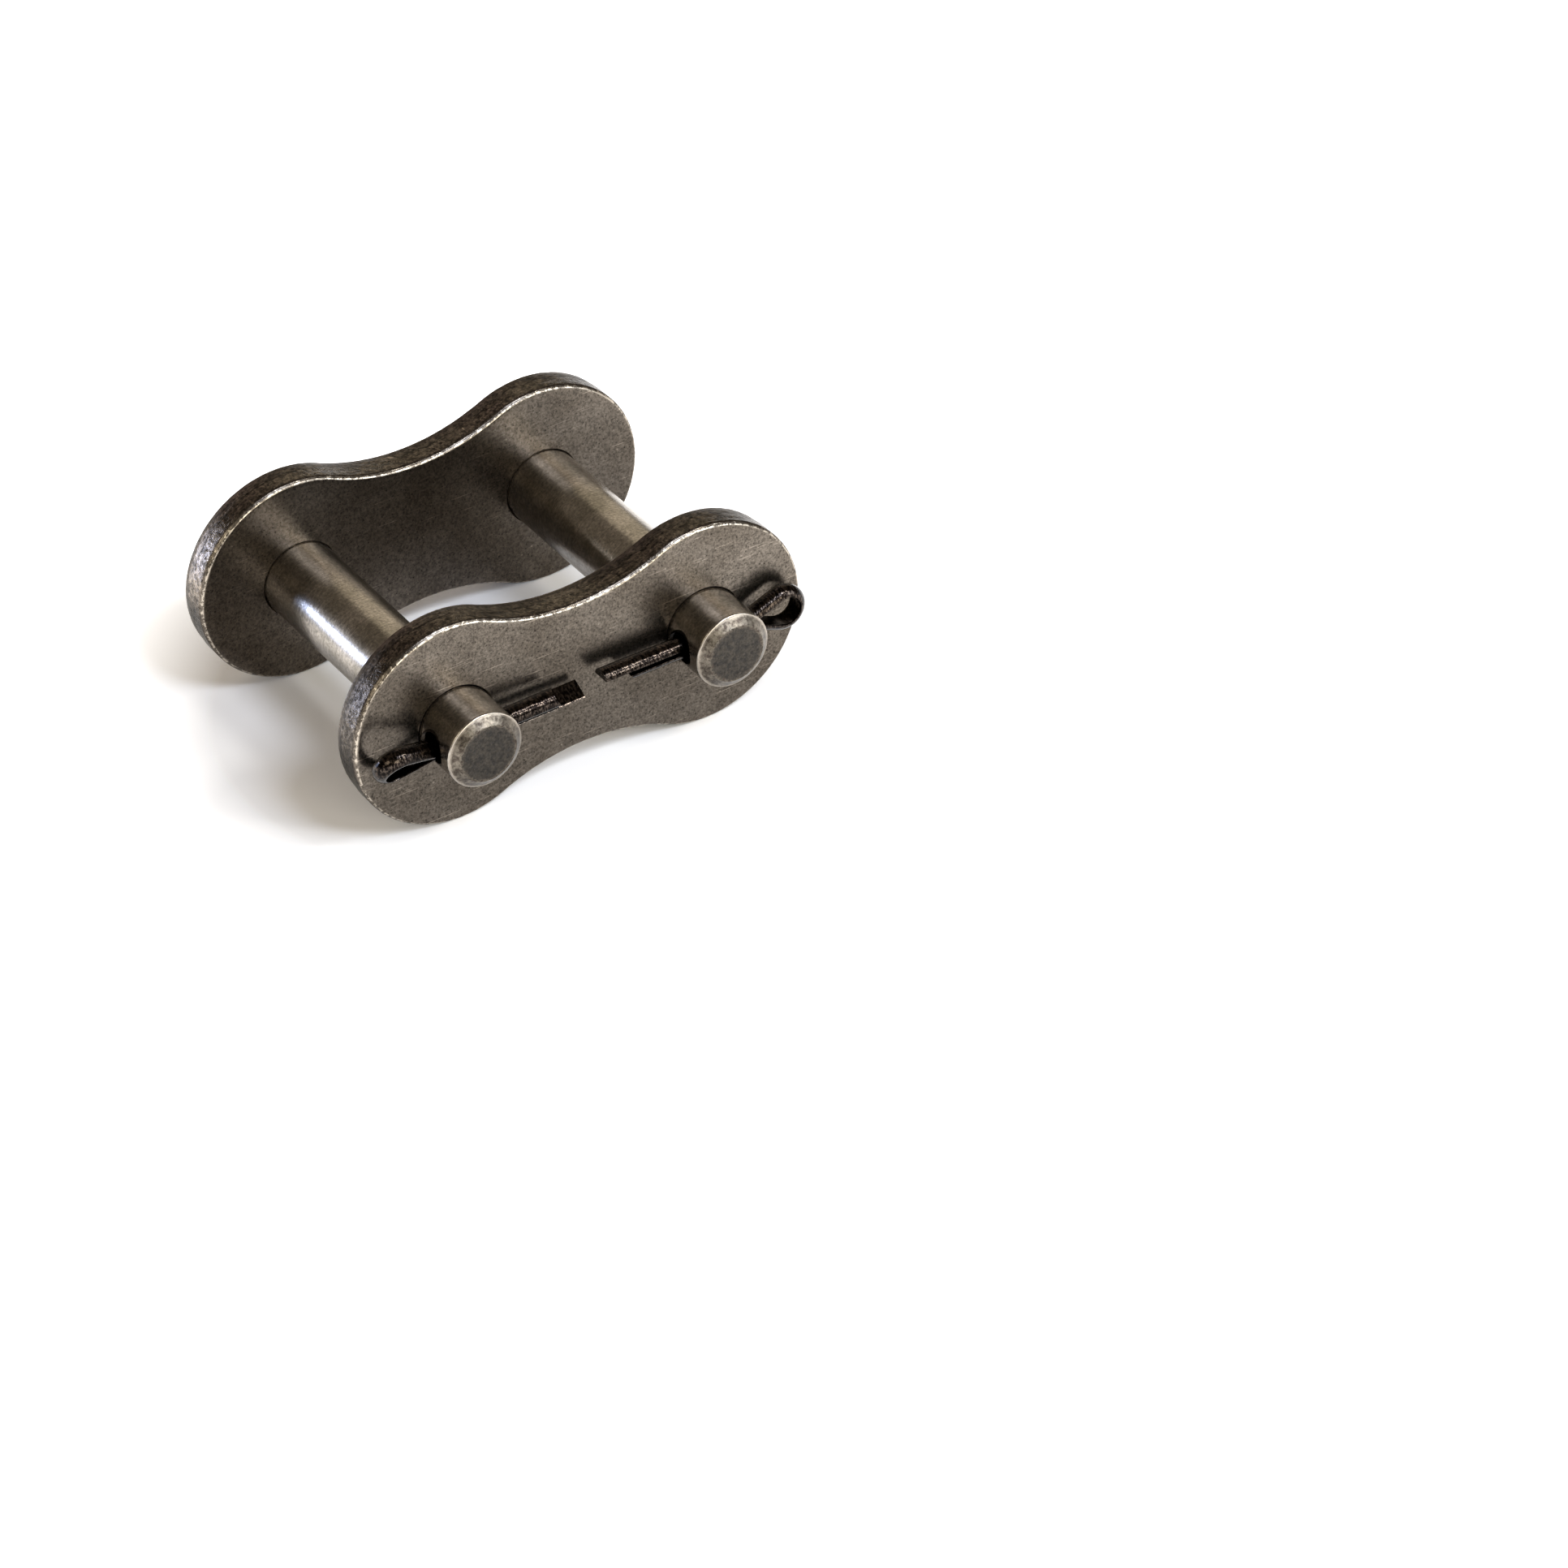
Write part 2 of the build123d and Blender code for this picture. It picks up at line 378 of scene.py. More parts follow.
    # bare metal on the die roll, and here and there along the end of the shear
    rub_end = node(tree, "ShaderNodeMapRange", {
        "Value": rub.outputs["Fac"], "From Min": 0.35, "From Max": 0.65, "To Min": -0.22, "To Max": 0.45})
    rub_start = node(tree, "ShaderNodeMapRange", {"Value": depth, "From Min": 0.03, "From Max": 0.08})
    under = node(tree, "ShaderNodeMath", {0: rub_end.outputs["Result"], 1: depth}, operation="SUBTRACT")
    rub_share = node(tree, "ShaderNodeMapRange", {
        "Value": under.outputs[0], "From Min": -0.03, "From Max": 0.03})
    rubbed = node(tree, "ShaderNodeMath", {
        0: rub_start.outputs["Result"], 1: rub_share.outputs["Result"]}, operation="MULTIPLY")
    step_line = node(tree, "ShaderNodeMapRange", {
        "Value": step_distance.outputs[0], "From Min": 0.03, "From Max": 0.09, "To Min": 1.0, "To Max": 0.0})
    step_places = node(tree, "ShaderNodeMapRange", {
        "Value": clouds.outputs["Fac"], "From Min": 0.52, "From Max": 0.56, "To Max": 0.35})
    step_rub = node(tree, "ShaderNodeMath", {
        0: step_line.outputs["Result"], 1: step_places.outputs["Result"]}, operation="MULTIPLY")
    bare = node(tree, "ShaderNodeMath", {
        0: rubbed.outputs[0], 1: step_rub.outputs[0]}, operation="MAXIMUM")
    surface = node(tree, "ShaderNodeMix", {
        "Factor": bare.outputs[0], "A": grain_and_shade.outputs["Result"], "B": bare_metal}, data_type="RGBA")
    tree.links.new(surface.outputs["Result"], shader.inputs["Base Color"])

    land_roughness = node(tree, "ShaderNodeMapRange", {
        "Value": on_rim.outputs["Result"], "To Min": 0.28, "To Max": 0.17})
    rim_roughness = node(tree, "ShaderNodeMix", {
        "Factor": torn.outputs["Result"], "A": land_roughness.outputs["Result"], "B": 0.34},
        data_type="FLOAT")
    roughness = node(tree, "ShaderNodeMix", {
        "Factor": bare.outputs[0], "A": rim_roughness.outputs["Result"], "B": 0.3}, data_type="FLOAT")
    tree.links.new(roughness.outputs["Result"], shader.inputs["Roughness"])
    crumble = node(tree, "ShaderNodeMath", {
        0: rub.outputs["Fac"], 1: torn.outputs["Result"]}, operation="MULTIPLY")
    relief = node(tree, "ShaderNodeMath", {
        0: grain.outputs["Fac"], 1: crumble.outputs[0]}, operation="ADD")
    bump = node(tree, "ShaderNodeBump", {
        "Height": relief.outputs[0], "Strength": 0.5, "Distance": 0.03 * mm})
    rough_rim = node(tree, "ShaderNodeMath", {
        0: rub.outputs["Fac"], 1: 0.4, 2: grooves.outputs["Fac"]}, operation="MULTIPLY_ADD")
    groove_height = node(tree, "ShaderNodeMath", {
        0: rough_rim.outputs[0], 1: on_rim.outputs["Result"]}, operation="MULTIPLY")
    groove_bump = node(tree, "ShaderNodeBump", {
        "Height": groove_height.outputs[0], "Normal": bump.outputs["Normal"],
        "Strength": 1.0, "Distance": 0.25 * mm})
    tree.links.new(groove_bump.outputs["Normal"], shader.inputs["Normal"])
    return material


plate_steel = tempered_plate_steel()
back_plate = link_plate("stamped_back_plate", back_low.y, pin_r - press_bite, crumb_shift=0.0)
cover_plate = link_plate("stamped_cover_plate", cover_low.y, pin_r + slip_gap, crumb_shift=31.0)
for plate, cad_node, body in (
        (back_plate, "back_plate", "pinned_plate"), (cover_plate, "cover_plate", "cover")):
    plate.data.materials.append(plate_steel)
    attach(plate, body)
    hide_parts(cad_node)

# ---- Pins ----------------------------------------------------------------------------------
# The pins are turned from case-hardening steel, hardened, ground to size, pressed into the
# back plate and upset behind it. The free ends are crowned and cross-drilled for the
# cotters, and the cross holes are countersunk.

head_r = 6.05 * mm
head_round = 1.2 * mm          # rounding round the end of the head
tip_stub = 7.2 * mm            # from the cover plate to the rim of the free end
tip_face_r = 4.2 * mm          # flat middle of the crowned end
rim_break = 0.25 * mm          # broken edge at the rim
leg_gap = 0.55 * mm            # slit between a cotter's legs
cross_clearance = 0.5 * mm     # radial, round the two legs
cross_land = 0.6 * mm          # from the edge of the cross hole to the cover plate
cross_sink = 0.33 * mm         # width of the countersink at both mouths
pin_edge_angle = radians(25.0)

right_cotter_low, right_cotter_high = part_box("cotter_right")
half_wire = (right_cotter_high.y - right_cotter_low.y) / 2
cross_r = half_wire + leg_gap / 2 + cross_clearance
cross_y = cover_low.y - cross_land - cross_r
tip_rim_y = cover_low.y - tip_stub


def pin_section():
    """Radius and y along a pin, from the middle of its head to the middle of its tip."""
    face_steps = 12
    head_face_r = head_r - head_round
    section = [(head_face_r * i / face_steps, pin_high.y) for i in range(face_steps + 1)]
    round_steps = 8
    for i in range(1, round_steps + 1):
        a = pi / 2 * i / round_steps
        section.append((head_face_r + head_round * sin(a), pin_high.y - head_round * (1 - cos(a))))
    section += [(head_r, back_high.y), (pin_r, back_high.y)]
    shaft_steps = 120
    shaft_length = back_high.y - (tip_rim_y + rim_break)
    for i in range(1, shaft_steps + 1):
        section.append((pin_r, back_high.y - shaft_length * i / shaft_steps))
    rim_steps = 4
    for i in range(1, rim_steps + 1):
        a = pi / 2 * i / rim_steps
        section.append((pin_r - rim_break * (1 - cos(a)), tip_rim_y + rim_break * (1 - sin(a))))
    slope_steps = 10
    slope_r = pin_r - rim_break
    for i in range(1, slope_steps + 1):
        t = i / slope_steps
        section.append((slope_r + (tip_face_r - slope_r) * t, tip_rim_y + (pin_low.y - tip_rim_y) * t))
    for i in range(1, face_steps + 1):
        section.append((tip_face_r * (1 - i / face_steps), pin_low.y))
    return section


def turned(name, section, steps):
    """A solid turned about Y from a section that starts and ends on the axis."""
    vertices = [(0.0, section[0][1], 0.0)]
    rows = []
    for r, y in section[1:-1]:
        rows.append(list(range(len(vertices), len(vertices) + steps)))
        vertices += [(r * cos(2 * pi * i / steps), y, r * sin(2 * pi * i / steps)) for i in range(steps)]
    vertices.append((0.0, section[-1][1], 0.0))
    faces = ring_faces(rows, True)
    last = len(vertices) - 1
    for i in range(steps):
        j = (i + 1) % steps
        faces.append((0, rows[0][i], rows[0][j]))
        faces.append((last, rows[-1][j], rows[-1][i]))
    return add_object(name, closed_mesh(name, vertices, faces))


def link_pin(name, x):
    """A turned pin, with its cross hole cut and countersunk along X."""
    pin = turned(name, pin_section(), steps=160)
    drill_end = pin_r + cross_sink
    sink_start = pin_r - cross_sink
    sink_r = cross_r + 2 * cross_sink
    drill = turned(name + "_drill", [
        (0.0, -drill_end), (sink_r, -drill_end), (cross_r, -sink_start),
        (cross_r, sink_start), (sink_r, drill_end), (0.0, drill_end)], steps=96)
    drill.data.transform(Matrix.Translation((0.0, cross_y, 0.0)) @ Matrix.Rotation(pi / 2, 4, "Z"))
    cut = pin.modifiers.new("cross_hole", "BOOLEAN")
    cut.operation = "DIFFERENCE"
    cut.object = drill
    cut.solver = "EXACT"
    bpy.context.view_layer.update()
    mesh = bpy.data.meshes.new_from_object(pin.evaluated_get(bpy.context.evaluated_depsgraph_get()))
    pin.modifiers.clear()
    bpy.data.objects.remove(drill)
    pin.data = mesh
    mesh.transform(Matrix.Translation((x, 0.0, axis_z)))
    mesh.shade_smooth()
    mesh.set_sharp_from_angle(angle=pin_edge_angle)
    return pin


# Ground steel with a thin olive-grey oxide, smoother than the plates, with faint grinding
# rings and darker stains. The free end's middle is dull slate, the slope round it is
# mottled, and its rim is rubbed bright. Painted shade darkens the cross holes. The real
# grinding rings are finer, and are drawn as coarse as they need to show.
def ground_pin_steel():
    light_oxide = linear("#A29B92")
    stained_oxide = linear("#878177")
    dark_slope = linear("#443D37")
    light_slope = linear("#70695F")
    dark_slate = linear("#32302E")
    light_slate = linear("#403C37")
    bare_metal = linear("#92897E")
    # painted shade for the cross holes, lighter in the left pin than in the right
    left_hole_shade = linear("#36302A")
    right_hole_shade = linear("#1A1714")
    stain_size = 5 * mm
    speckle_size = 0.4 * mm
    ring_length = 4 * mm
    ring_width = 0.22 * mm
    blotch_size = 0.9 * mm

    material = bpy.data.materials.new("ground_pin_steel")
    material.use_nodes = True
    tree = material.node_tree
    shader = tree.nodes["Principled BSDF"]
    shader.inputs["Metallic"].default_value = 1.0
    place = node(tree, "ShaderNodeTexCoord").outputs["Object"]
    axes = node(tree, "ShaderNodeSeparateXYZ", {"Vector": place})
    from_middle = node(tree, "ShaderNodeMath", {0: axes.outputs["X"]}, operation="ABSOLUTE")
    aside = node(tree, "ShaderNodeMath", {0: from_middle.outputs[0], 1: pin_x}, operation="SUBTRACT")
    above = node(tree, "ShaderNodeMath", {0: axes.outputs["Z"], 1: axis_z}, operation="SUBTRACT")
    across = node(tree, "ShaderNodeCombineXYZ", {"X": aside.outputs[0], "Z": above.outputs[0]})
    radius = node(tree, "ShaderNodeVectorMath", {0: across.outputs[0]}, operation="LENGTH")

    stains = node(tree, "ShaderNodeTexNoise", {
        "Vector": place, "Scale": 1 / stain_size, "Detail": 4.0, "Roughness": 0.6})
    stain_share = node(tree, "ShaderNodeMapRange", {
        "Value": stains.outputs["Fac"], "From Min": 0.4, "From Max": 0.62})
    oxide = node(tree, "ShaderNodeMix", {
        "Factor": stain_share.outputs["Result"], "A": light_oxide, "B": stained_oxide},
        data_type="RGBA")
    speckle = node(tree, "ShaderNodeTexNoise", {
        "Vector": place, "Scale": 1 / speckle_size, "Detail": 3.0, "Roughness": 0.7})
    speckle_level = node(tree, "ShaderNodeMapRange", {
        "Value": speckle.outputs["Fac"], "From Min": 0.3, "From Max": 0.7, "To Min": 0.62, "To Max": 1.38})
    squeezed = node(tree, "ShaderNodeMapping", {
        "Vector": place, "Scale": (1 / ring_length, 1 / ring_width, 1 / ring_length)})
    rings = node(tree, "ShaderNodeTexNoise", {
        "Vector": squeezed.outputs["Vector"], "Scale": 1.0, "Detail": 2.0, "Roughness": 0.6})
    ring_level = node(tree, "ShaderNodeMapRange", {
        "Value": rings.outputs["Fac"], "From Min": 0.3, "From Max": 0.7, "To Min": 0.85, "To Max": 1.15})
    shaft_level = node(tree, "ShaderNodeMath", {
        0: speckle_level.outputs["Result"], 1: ring_level.outputs["Result"]}, operation="MULTIPLY")
    shaft = node(tree, "ShaderNodeMix", {
        "Factor": 1.0, "A": oxide.outputs["Result"], "B": shaft_level.outputs[0]},
        data_type="RGBA", blend_type="MULTIPLY")

    blotches = node(tree, "ShaderNodeTexNoise", {
        "Vector": place, "Scale": 1 / blotch_size, "Detail": 4.0, "Roughness": 0.7})
    blotch_share = node(tree, "ShaderNodeMapRange", {
        "Value": blotches.outputs["Fac"], "From Min": 0.4, "From Max": 0.58})
    slope = node(tree, "ShaderNodeMix", {
        "Factor": blotch_share.outputs["Result"], "A": dark_slope, "B": light_slope},
        data_type="RGBA")
    disc = node(tree, "ShaderNodeMix", {
        "Factor": blotch_share.outputs["Result"], "A": dark_slate, "B": light_slate},
        data_type="RGBA")
    # the disc's edge is ragged
    disc_end = node(tree, "ShaderNodeMapRange", {
        "Value": blotches.outputs["Fac"], "From Min": 0.3, "From Max": 0.7,
        "To Min": tip_face_r - 0.9 * mm, "To Max": tip_face_r + 0.3 * mm})
    past_disc = node(tree, "ShaderNodeMath", {
        0: radius.outputs["Value"], 1: disc_end.outputs["Result"]}, operation="SUBTRACT")
    slope_share = node(tree, "ShaderNodeMapRange", {
        "Value": past_disc.outputs[0], "From Min": -0.15 * mm, "From Max": 0.15 * mm})
    tip = node(tree, "ShaderNodeMix", {
        "Factor": slope_share.outputs["Result"], "A": disc.outputs["Result"], "B": slope.outputs["Result"]},
        data_type="RGBA")
    tip_grained = node(tree, "ShaderNodeMix", {
        "Factor": 1.0, "A": tip.outputs["Result"], "B": speckle_level.outputs["Result"]},
        data_type="RGBA", blend_type="MULTIPLY")

    tip_share = node(tree, "ShaderNodeMapRange", {
        "Value": axes.outputs["Y"], "From Min": tip_rim_y - 0.01 * mm,
        "From Max": tip_rim_y + 0.01 * mm, "To Min": 1.0, "To Max": 0.0})
    coated = node(tree, "ShaderNodeMix", {
        "Factor": tip_share.outputs["Result"], "A": shaft.outputs["Result"],
        "B": tip_grained.outputs["Result"]}, data_type="RGBA")
    near_rim = node(tree, "ShaderNodeMath", {0: axes.outputs["Y"], 1: tip_rim_y}, operation="SUBTRACT")
    rim_distance = node(tree, "ShaderNodeMath", {0: near_rim.outputs[0]}, operation="ABSOLUTE")
    rim_share = node(tree, "ShaderNodeMapRange", {
        "Value": rim_distance.outputs[0], "From Min": 0.05 * mm, "From Max": 0.16 * mm,
        "To Min": 0.9, "To Max": 0.0})
    rim_places = node(tree, "ShaderNodeMapRange", {
        "Value": blotches.outputs["Fac"], "From Min": 0.36, "From Max": 0.58, "To Min": 0.2, "To Max": 1.0})
    bare = node(tree, "ShaderNodeMath", {
        0: rim_share.outputs["Result"], 1: rim_places.outputs["Result"]}, operation="MULTIPLY")
    surface = node(tree, "ShaderNodeMix", {
        "Factor": bare.outputs[0], "A": coated.outputs["Result"], "B": bare_metal}, data_type="RGBA")
    # painted shade darkens the cross hole and its countersinks, more deeply in the right pin
    from_cross = node(tree, "ShaderNodeVectorMath", {
        0: place, 1: (0.0, cross_y, axis_z)}, operation="SUBTRACT")
    round_cross = node(tree, "ShaderNodeVectorMath", {
        0: from_cross.outputs[0], 1: (0.0, 1.0, 1.0)}, operation="MULTIPLY")
    cross_distance = node(tree, "ShaderNodeVectorMath", {0: round_cross.outputs[0]}, operation="LENGTH")
    cross_edge = cross_r + cross_sink
    in_cross = node(tree, "ShaderNodeMapRange", {
        "Value": cross_distance.outputs["Value"], "From Min": cross_edge - 0.02 * mm,
        "From Max": cross_edge + 0.05 * mm, "To Min": 1.0, "To Max": 0.0})
    right_share = node(tree, "ShaderNodeMapRange", {
        "Value": axes.outputs["X"], "From Min": -pin_r, "From Max": pin_r})
    hole_shade = node(tree, "ShaderNodeMix", {
        "Factor": right_share.outputs["Result"], "A": left_hole_shade, "B": right_hole_shade},
        data_type="RGBA")
    hole_shaded = node(tree, "ShaderNodeMix", {
        "Factor": in_cross.outputs["Result"], "A": surface.outputs["Result"], "B": hole_shade.outputs["Result"]},
        data_type="RGBA")
    tree.links.new(hole_shaded.outputs["Result"], shader.inputs["Base Color"])

    roughness = node(tree, "ShaderNodeMix", {
        "Factor": tip_share.outputs["Result"], "A": 0.25, "B": 0.36}, data_type="FLOAT")
    tree.links.new(roughness.outputs["Result"], shader.inputs["Roughness"])
    relief = node(tree, "ShaderNodeMath", {
        0: speckle.outputs["Fac"], 1: rings.outputs["Fac"]}, operation="ADD")
    bump = node(tree, "ShaderNodeBump", {
        "Height": relief.outputs[0], "Strength": 0.25, "Distance": 0.02 * mm})
    tree.links.new(bump.outputs["Normal"], shader.inputs["Normal"])
    return material


pin_steel = ground_pin_steel()
for side, x in (("left", -pin_x), ("right", pin_x)):
    pin = link_pin("turned_pin_" + side, x)
    pin.data.materials.clear()
    pin.data.materials.append(pin_steel)
    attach(pin, "pinned_plate")
    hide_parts("pin_" + side)

# ---- Cotters -------------------------------------------------------------------------------
# Each cotter is half-round mild steel wire folded flat to flat round an eye, with one leg
# longer than the other. It is pushed through the pin's cross hole and left straight.

eye_r = 2.1 * mm               # inside of the eye
eye_angle = radians(21.0)      # slope of the eye's straight sides
neck_r = 3.0 * mm              # bend from leg into eye
leg_step = 3.8 * mm            # one leg is shorter by this much
leg_bevel = radians(35.0)      # slope of the short leg's cut end
wire_corner = 0.12 * mm        # rounding of the flat side's edges
roll_left = radians(33.0)      # turn of the left cotter about its own length
seat_left = 0.15 * mm          # each cotter lies this much nearer the cover plate than its hole
seat_right = 0.5 * mm
cotter_drop = 0.15 * mm        # and this much lower
eye_clearance = 0.3 * mm       # from an eye to the cover plate
wire_edge_angle = radians(35.0)
wire_rise = (right_cotter_high.z - right_cotter_low.z) / 2 - eye_r
eye_x = right_cotter_high.x - pin_x - eye_r - wire_rise
long_x = right_cotter_low.x - pin_x


def cotter_path():
    """Points along the wire's flat side as (x, z, direction), from the long leg's end."""
    start = leg_gap / 2
    neck_top = start + neck_r * (1 - cos(eye_angle))
    side_length = (eye_r * cos(eye_angle) - neck_top) / sin(eye_angle)
    neck_x = eye_x - eye_r * sin(eye_angle) - side_length * cos(eye_angle) - neck_r * sin(eye_angle)
    half = []
    leg_steps = 40
    for i in range(leg_steps):
        half.append((long_x + (neck_x - long_x) * i / leg_steps, start, 0.0))
        if i == 0:
            half.append((long_x + wire_corner, start, 0.0))
    neck_steps = 8
    for i in range(neck_steps + 1):
        a = eye_angle * i / neck_steps
        half.append((neck_x + neck_r * sin(a), start + neck_r * (1 - cos(a)), a))
    side_steps = 12
    side_x = neck_x + neck_r * sin(eye_angle)
    for i in range(1, side_steps):
        t = side_length * i / side_steps
        half.append((side_x + t * cos(eye_angle), neck_top + t * sin(eye_angle), eye_angle))
    half_eye_steps = 20
    for i in range(half_eye_steps):
        a = eye_angle - (pi / 2 + eye_angle) * i / half_eye_steps
        half.append((eye_x - eye_r * sin(a), eye_r * cos(a), a))
    middle = [(eye_x + eye_r, 0.0, -pi / 2)]
    other = [(x, -z, -pi - a) for x, z, a in reversed(half)]
    short_x = long_x + leg_step
    clear_x = short_x + wire_rise * tan(leg_bevel) + 2 * wire_corner
    end = [(short_x + wire_corner, -start, -pi), (short_x, -start, -pi)]
    return half + middle + [p for p in other if p[0] > clear_x] + end


def wire_section():
    """The half-round wire's section as (across, out, edge, crown), with out from its flat side."""
    flat = half_wire - wire_corner
    corner_cut = 0.3 * wire_corner
    points = [(-flat, 0.0, 1.0, 0.0)]
    points += [(flat * share, 0.0, 0.0, 0.0) for share in (-0.85, -0.5, -0.25, 0.0, 0.25, 0.5, 0.85)]
    points += [(flat, 0.0, 1.0, 0.0), (half_wire - corner_cut, corner_cut, 1.0, 0.0)]
    arc_steps = 24
    arc_r = (half_wire**2 + wire_rise**2) / (2 * wire_rise)
    arc_start = asin((wire_corner + arc_r - wire_rise) / arc_r)
    for i in range(arc_steps + 1):
        a = arc_start + (pi - 2 * arc_start) * i / arc_steps
        edge = 1.0 if i in (0, arc_steps) else 0.0
        points.append((arc_r * cos(a), wire_rise - arc_r + arc_r * sin(a), edge, 1.0 - edge))
    points.append((corner_cut - half_wire, corner_cut, 1.0, 0.0))
    return points


def cotter(name, placing):
    """A split cotter with its eye at +X, moved by placing."""
    section = wire_section()
    path = cotter_path()
    vertices = []
    edges = []
    crowns = []
    rows = []
    for k, (x, z, a) in enumerate(path):
        rows.append(list(range(len(vertices), len(vertices) + len(section))))
        for across, out, edge, crown in section:
            px = x - out * sin(a)
            pz = z + out * cos(a)
            if k >= len(path) - 2:
                px += out * tan(leg_bevel)
            vertices.append((px, across, pz))
            edges.append(1.0 if k in (0, len(path) - 1) else edge)
            crowns.append(crown)
    faces = ring_faces(rows, False) + [tuple(rows[0]), tuple(reversed(rows[-1]))]
    mesh = closed_mesh(name, vertices, faces)
    mesh.transform(placing)
    mesh.shade_smooth()
    mesh.set_sharp_from_angle(angle=wire_edge_angle)
    add_marks(mesh, "edge", edges)
    add_marks(mesh, "crown", crowns)
    return add_object(name, mesh)


# Mild steel blackened by heat: nearly black brown, with a coarse skin that breaks its
# highlights into sparkles, and a thin line of barer metal along the edges of the flat side.
def blackened_wire_steel():
    dark_oxide = linear("#110E0D")
    light_oxide = linear("#463E38")
    bare_metal = linear("#60574F")
    skin_width = 0.26 * mm
    skin_length = 0.6 * mm

    material = bpy.data.materials.new("blackened_wire_steel")
    material.use_nodes = True
    tree = material.node_tree
    shader = tree.nodes["Principled BSDF"]
    shader.inputs["Metallic"].default_value = 1.0
    place = node(tree, "ShaderNodeTexCoord").outputs["Object"]
    edge = node(tree, "ShaderNodeAttribute", attribute_name="edge").outputs["Fac"]
    squeezed = node(tree, "ShaderNodeMapping", {
        "Vector": place, "Scale": (1 / skin_width, 1 / skin_length, 1 / skin_length)})
    skin = node(tree, "ShaderNodeTexNoise", {
        "Vector": squeezed.outputs["Vector"], "Scale": 1.0, "Detail": 2.0, "Roughness": 0.6})
    skin_share = node(tree, "ShaderNodeMapRange", {
        "Value": skin.outputs["Fac"], "From Min": 0.45, "From Max": 0.62})
    oxide = node(tree, "ShaderNodeMix", {
        "Factor": skin_share.outputs["Result"], "A": dark_oxide, "B": light_oxide}, data_type="RGBA")
    edge_share = node(tree, "ShaderNodeMapRange", {
        "Value": skin.outputs["Fac"], "From Min": 0.3, "From Max": 0.6, "To Min": 0.0, "To Max": 0.12})
    bare = node(tree, "ShaderNodeMath", {0: edge, 1: edge_share.outputs["Result"]}, operation="MULTIPLY")
    surface = node(tree, "ShaderNodeMix", {
        "Factor": bare.outputs[0], "A": oxide.outputs["Result"], "B": bare_metal}, data_type="RGBA")
    tree.links.new(surface.outputs["Result"], shader.inputs["Base Color"])
    shader.inputs["Roughness"].default_value = 0.15
    crown = node(tree, "ShaderNodeAttribute", attribute_name="crown").outputs["Fac"]
    skin_height = node(tree, "ShaderNodeMapRange", {"Value": crown, "To Min": 0.15, "To Max": 1.0})
    height = node(tree, "ShaderNodeMath", {
        0: skin.outputs["Fac"], 1: skin_height.outputs["Result"]}, operation="MULTIPLY")
    bump = node(tree, "ShaderNodeBump", {
        "Height": height.outputs[0], "Strength": 1.0, "Distance": 0.04 * mm})
    tree.links.new(bump.outputs["Normal"], shader.inputs["Normal"])
    return material


wire_steel = blackened_wire_steel()
reach = eye_r * sin(roll_left) + half_wire + eye_clearance
lean_left = asin((reach - (cross_land + cross_r - seat_left)) / eye_x)
cotter_z = axis_z - cotter_drop
left_place = (
    Matrix.Translation((-pin_x, cross_y + seat_left, cotter_z)) @ Matrix.Rotation(lean_left, 4, "Z")
    @ Matrix.Rotation(roll_left, 4, "X") @ Matrix.Rotation(pi, 4, "Y"))
right_place = Matrix.Translation((pin_x, cross_y + seat_right, cotter_z))
for side, placing in (("left", left_place), ("right", right_place)):
    split_cotter = cotter("split_cotter_" + side, placing)
    split_cotter.data.materials.append(wire_steel)
    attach(split_cotter, side + "_cotter")
    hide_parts("cotter_" + side)

# ---- Floor and studio ----------------------------------------------------------------------
# The link stands on a white sheet. A soft key lamp is high in front of it, a little to the
# right, with two small ones further right that draw its edges. Wide weak ones stand low in
# front, on the left and behind, a cool window is low at the back left, and the room is dim.

floor_size = 1600 * mm
sheet_start = 40 * mm          # from here to sheet_end the sheet brightens to plain white
sheet_end = 62 * mm
lamp_distance = 900 * mm


# Uncoated white paper: matt all over, so that it shows nothing but the link's soft shadow.
def white_floor():
    material = bpy.data.materials.new("white_paper_floor")
    material.use_nodes = True
    tree = material.node_tree
    tree.nodes.remove(tree.nodes["Principled BSDF"])
    paper = node(tree, "ShaderNodeBsdfDiffuse", {"Color": linear("#FBF9F7")})
    # away from the link the sheet runs out to plain white
    place = node(tree, "ShaderNodeTexCoord").outputs["Object"]
    away = node(tree, "ShaderNodeVectorMath", {0: place}, operation="LENGTH")
    far = node(tree, "ShaderNodeMapRange", {
        "Value": away.outputs["Value"], "From Min": sheet_start, "From Max": sheet_end,
        "To Min": 0.01, "To Max": 1.0})
    rays = node(tree, "ShaderNodeLightPath")
    straight_or_mirrored = node(tree, "ShaderNodeMath", {
        0: rays.outputs["Is Camera Ray"], 1: rays.outputs["Is Glossy Ray"]}, operation="MAXIMUM")
    seen = node(tree, "ShaderNodeMath", {
        0: straight_or_mirrored.outputs[0], 1: rays.outputs["Is Transmission Ray"]}, operation="MAXIMUM")
    lift = node(tree, "ShaderNodeMath", {0: seen.outputs[0], 1: far.outputs["Result"]}, operation="MULTIPLY")
    glow = node(tree, "ShaderNodeEmission", {"Color": linear("#FFFFFF"), "Strength": lift.outputs[0]})
    both = node(tree, "ShaderNodeAddShader", {0: paper.outputs[0], 1: glow.outputs[0]})
    output = tree.nodes["Material Output"]
    tree.links.new(both.outputs[0], output.inputs["Surface"])
    return material


floor_edge = floor_size / 2
floor_corners = [
    (-floor_edge, -floor_edge, 0), (floor_edge, -floor_edge, 0),
    (floor_edge, floor_edge, 0), (-floor_edge, floor_edge, 0)]
floor_mesh = bpy.data.meshes.new("paper_floor")
floor_mesh.from_pydata(floor_corners, [], [(0, 1, 2, 3)])
floor_mesh.materials.append(white_floor())
floor = add_object("paper_floor", floor_mesh)

